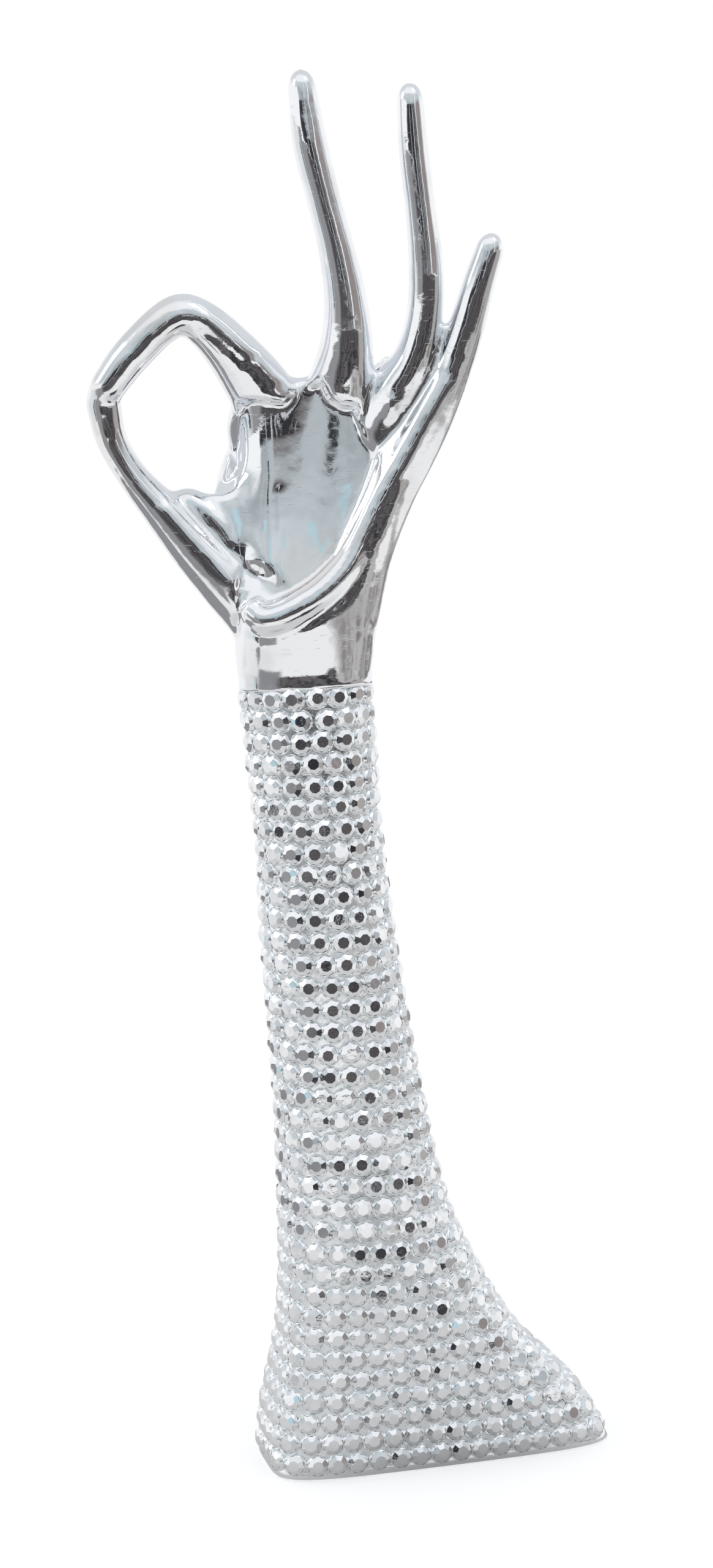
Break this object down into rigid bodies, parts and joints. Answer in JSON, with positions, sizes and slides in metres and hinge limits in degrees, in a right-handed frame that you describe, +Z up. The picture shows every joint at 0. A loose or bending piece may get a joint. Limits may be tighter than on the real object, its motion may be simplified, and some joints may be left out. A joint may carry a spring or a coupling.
{
  "type": "hand jewelry stand",
  "caption": "Upright open hand on a studded flared sleeve, for hanging rings, bracelets and necklaces; thumb and forefinger form a loop.",
  "frame": {"origin": "centre of the foot's underside", "axes": "+X along the foot's long side, towards its long toe; -Y to the front, the palm's side; +Z up"},
  "size_m": [0.1103, 0.0302, 0.2981],
  "materials": {
    "plated_silver": "mirror-bright plating, satin between the studs"
  },
  "bodies": {
    "root": {"jewelry_hand": "plated_silver"}
  },
  "joints": []
}
